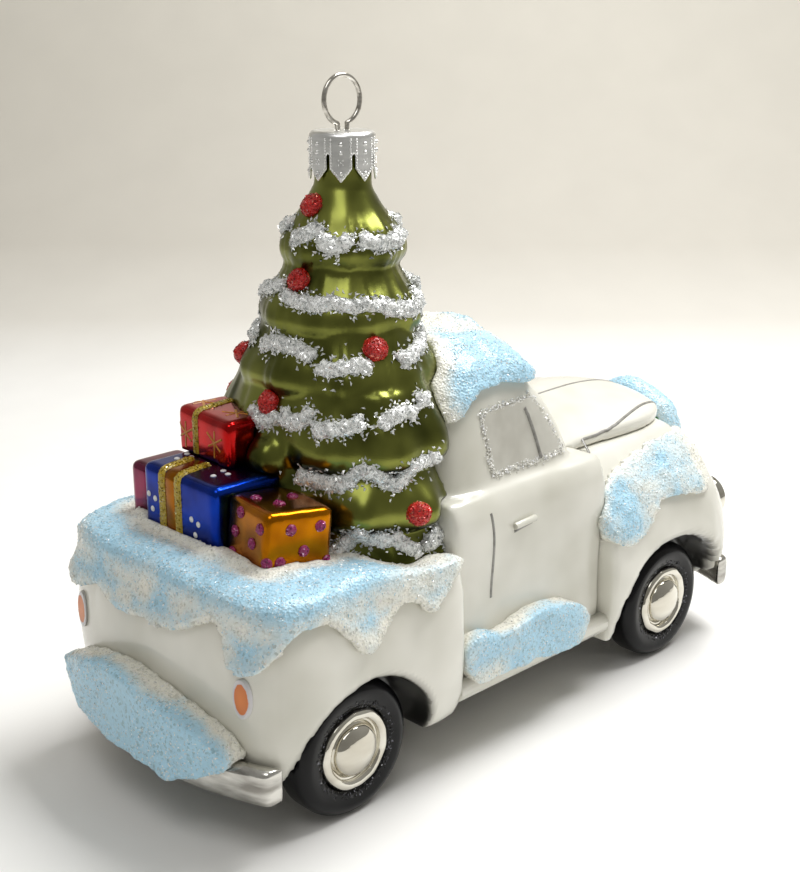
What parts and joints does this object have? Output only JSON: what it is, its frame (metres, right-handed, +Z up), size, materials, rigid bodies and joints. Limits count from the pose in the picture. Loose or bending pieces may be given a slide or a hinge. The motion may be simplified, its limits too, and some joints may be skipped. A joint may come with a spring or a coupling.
{
  "type": "blown-glass pickup truck tree ornament",
  "caption": "Hanging blown-glass ornament in the form of an old pickup truck with a decorated fir, wrapped gifts and snow in its bed, and a pull-off crown cap with a wire loop.",
  "frame": {"origin": "on the floor under the middle of the truck, at the bottom centre of its bounding box", "axes": "+X to the nose of the truck, +Y to its left side, +Z up"},
  "size_m": [0.1316, 0.059, 0.111],
  "materials": {
    "white_glass": "pearl-white glossy lacquer on blown glass",
    "snow_glitter": "white and pale-blue glass glitter",
    "cap_aluminium": "bright stamped sheet",
    "silver_lacquer": "satin silver lacquer on glass",
    "blue_lacquer": "transparent blue lacquer over silvering",
    "gold_lacquer": "satin gold lacquer over silvering",
    "magenta_lacquer": "transparent magenta lacquer over silvering",
    "red_lacquer": "transparent red lacquer over silvering",
    "spring_wire": "bright drawn wire",
    "mirror_silver": "clear silvered glass, mirror bright",
    "window_glass": "silvered grey lacquer on blown glass",
    "orange_enamel": "gloss orange enamel",
    "green_lacquer": "satin metallic olive-green lacquer over silvering",
    "black_lacquer": "gloss black lacquer on glass",
    "wreath_green": "gloss green lacquer"
  },
  "bodies": {
    "root": {"bed": "white_glass", "bed_snow": "snow_glitter", "cab": "white_glass", "door_handle_left": "silver_lacquer", "door_handle_right": "silver_lacquer", "front_bumper": "silver_lacquer", "front_fender_left": "white_glass", "front_fender_right": "white_glass", "front_fender_snow_left": "snow_glitter", "front_fender_snow_right": "snow_glitter", "gift_blue": "blue_lacquer", "gift_gold": "gold_lacquer", "gift_magenta": "magenta_lacquer", "gift_red": "red_lacquer", "grille": "silver_lacquer", "headlamp_left": "silver_lacquer", "headlamp_right": "silver_lacquer", "hood": "white_glass", "hubcap_front_left": "mirror_silver", "hubcap_front_right": "mirror_silver", "hubcap_rear_left": "mirror_silver", "hubcap_rear_right": "mirror_silver", "nose_panel": "white_glass", "rear_bumper": "silver_lacquer", "rear_bumper_snow": "snow_glitter", "rear_fender_left": "white_glass", "rear_fender_right": "white_glass", "roof_snow": "snow_glitter", "running_board_left": "white_glass", "running_board_right": "white_glass", "running_board_snow_left": "snow_glitter", "running_board_snow_right": "snow_glitter", "side_window_left": "window_glass", "side_window_right": "window_glass", "tail_lamp_left": "orange_enamel", "tail_lamp_right": "orange_enamel", "tree": "green_lacquer", "tyre_front_left": "black_lacquer", "tyre_front_right": "black_lacquer", "tyre_rear_left": "black_lacquer", "tyre_rear_right": "black_lacquer", "underbody": "white_glass", "windscreen": "window_glass", "wreath": "wreath_green", "wreath_snow": "snow_glitter"},
    "cap_and_hanger": {"cap": "cap_aluminium", "hanger": "spring_wire"}
  },
  "joints": [
    {"name": "cap_pull", "type": "slide", "parent": "root", "child": "cap_and_hanger", "axis": [0, 0, 1], "range_m": [0, 0.03]}
  ]
}
